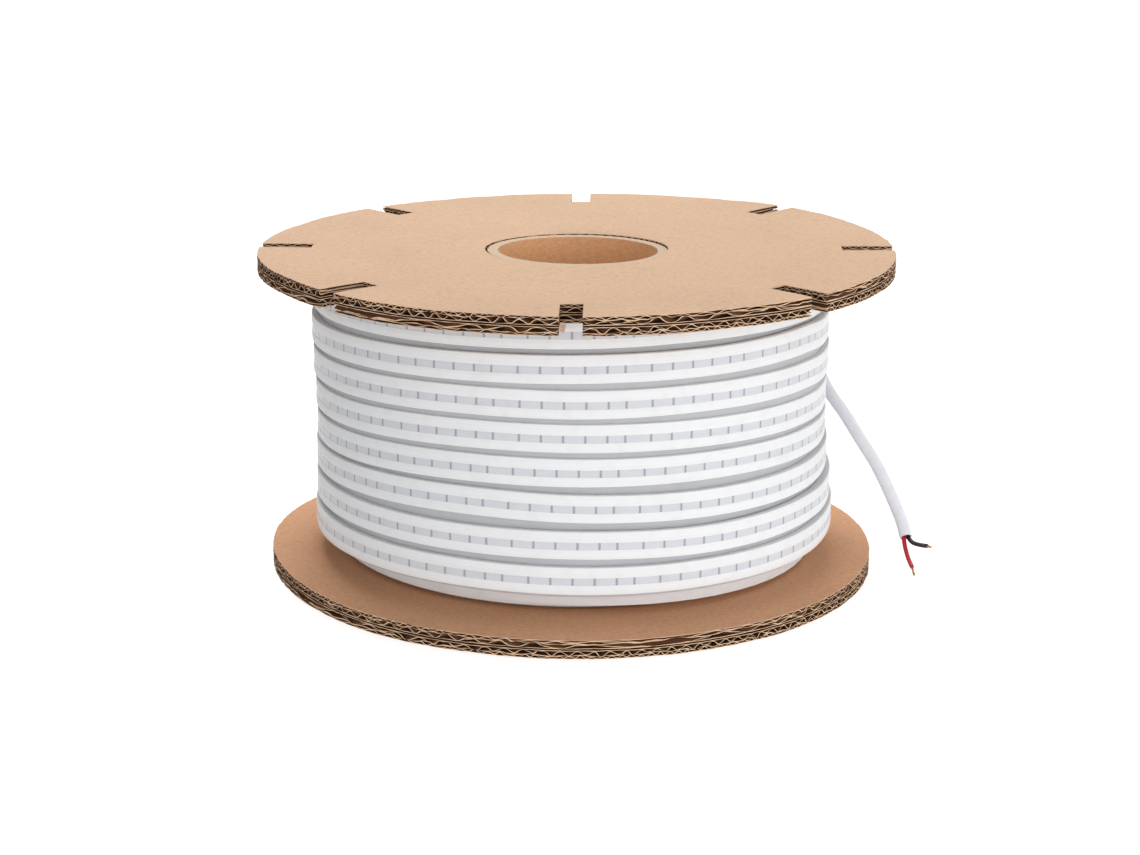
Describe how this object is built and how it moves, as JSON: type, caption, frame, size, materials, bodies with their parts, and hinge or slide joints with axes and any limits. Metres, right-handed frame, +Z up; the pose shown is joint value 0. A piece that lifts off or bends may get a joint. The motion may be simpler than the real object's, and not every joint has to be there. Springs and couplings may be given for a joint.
{
  "type": "led neon flex reel",
  "caption": "White LED neon flex wound on a slotted corrugated cardboard reel, with a stripped two-core lead",
  "frame": {"origin": "centre of the bottom flange's underside, on the reel's axis", "axes": "+Z up along the reel's axis; +X to the right as pictured, the side that the lead hangs on; -Y towards the viewer"},
  "size_m": [0.3211, 0.3028, 0.153],
  "materials": {
    "kraft_board": "uncoated corrugated cardboard, kraft brown",
    "kraft_tube": "wound paper tube, grey brown",
    "white_flex": "soft white extrusion, satin, with a translucent window strip",
    "white_cap": "satin white",
    "white_jacket": "satin white cable jacket",
    "red_insulation": "satin red",
    "black_insulation": "satin black",
    "bare_copper": "bare twisted copper strands"
  },
  "bodies": {
    "root": {"bottom_flange_lower_board": "kraft_board", "bottom_flange_upper_board": "kraft_board", "top_flange_lower_board": "kraft_board", "top_flange_upper_board": "kraft_board", "core_tube": "kraft_tube", "neon_flex": "white_flex", "flex_end_cap": "white_cap", "power_lead": "white_jacket", "red_core": "red_insulation", "black_core": "black_insulation", "red_conductor": "bare_copper", "black_conductor": "bare_copper"}
  },
  "joints": []
}
